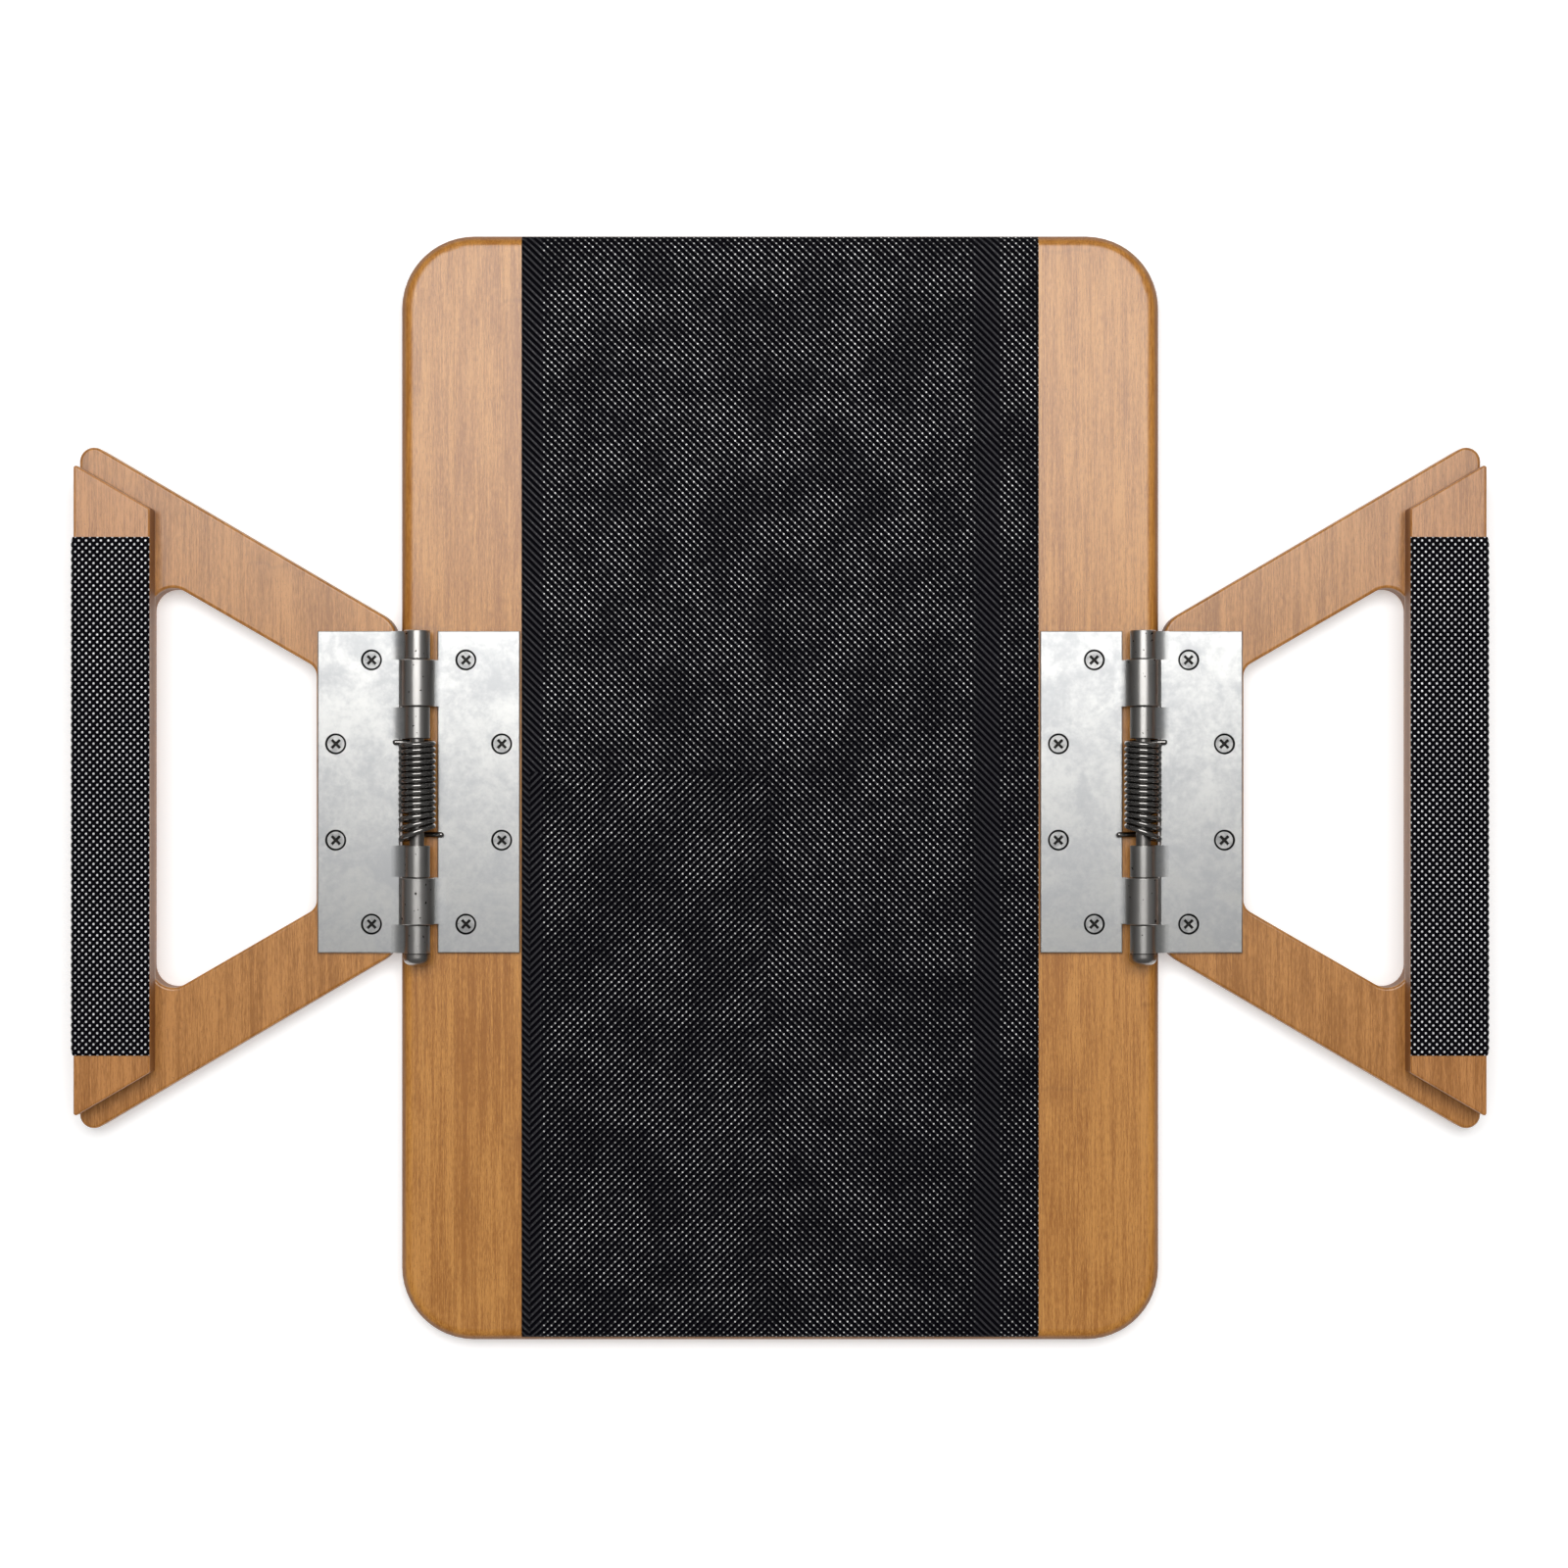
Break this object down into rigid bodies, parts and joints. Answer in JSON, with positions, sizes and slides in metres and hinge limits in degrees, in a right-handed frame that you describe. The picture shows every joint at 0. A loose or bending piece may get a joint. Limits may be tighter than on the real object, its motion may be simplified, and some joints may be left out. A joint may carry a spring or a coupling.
{
  "type": "clip-on armrest tray",
  "caption": "Rounded bamboo board with an anti-slip mat down its middle and a sprung, windowed clamp wing on a butt spring hinge at each side.",
  "frame": {"origin": "middle of the footprint, on the surface that the tray's plain face lies on", "axes": "+X across the wings, +Y along the board, its grain and the hinge pins, +Z out of the hinge and mat side"},
  "size_m": [0.4452, 0.35, 0.0221],
  "materials": {
    "bamboo_board": "satin lacquer",
    "bamboo_wing": "satin lacquer",
    "bamboo_bar": "satin lacquer",
    "beech_dowel": "bare",
    "anti_slip_mat": "raised points, semi-gloss",
    "hinge_steel": "zinc-plated, satin",
    "pin_steel": "bright turned",
    "spring_steel": "oiled",
    "screw_steel": "zinc-plated"
  },
  "bodies": {
    "base": {"board": "bamboo_board", "grip_mat": "anti_slip_mat", "left_hinge_board_leaf": "hinge_steel", "left_hinge_bushes": "pin_steel", "left_hinge_pin": "pin_steel", "left_torsion_spring": "spring_steel", "left_board_leaf_screws": "screw_steel", "right_hinge_board_leaf": "hinge_steel", "right_hinge_bushes": "pin_steel", "right_hinge_pin": "pin_steel", "right_torsion_spring": "spring_steel", "right_board_leaf_screws": "screw_steel"},
    "left_wing": {"left_wing_frame": "bamboo_wing", "left_clamp_bar": "bamboo_bar", "left_grip_strip": "anti_slip_mat", "left_bar_dowels": "beech_dowel", "left_hinge_wing_leaf": "hinge_steel", "left_wing_leaf_screws": "screw_steel"},
    "right_wing": {"right_wing_frame": "bamboo_wing", "right_clamp_bar": "bamboo_bar", "right_grip_strip": "anti_slip_mat", "right_bar_dowels": "beech_dowel", "right_hinge_wing_leaf": "hinge_steel", "right_wing_leaf_screws": "screw_steel"}
  },
  "joints": [
    {"name": "left_wing_hinge", "type": "hinge", "parent": "base", "child": "left_wing", "pos_m": [-0.1141, -0.0013, 0.0162], "axis": [0, 1, 0], "range_deg": [0, 180], "stiffness_Nm_per_rad": 0.02, "springref_deg": 180, "deforming": ["left_torsion_spring"]},
    {"name": "right_wing_hinge", "type": "hinge", "parent": "base", "child": "right_wing", "pos_m": [0.1141, -0.0013, 0.0162], "axis": [0, -1, 0], "range_deg": [0, 180], "stiffness_Nm_per_rad": 0.02, "springref_deg": 180, "deforming": ["right_torsion_spring"]}
  ]
}
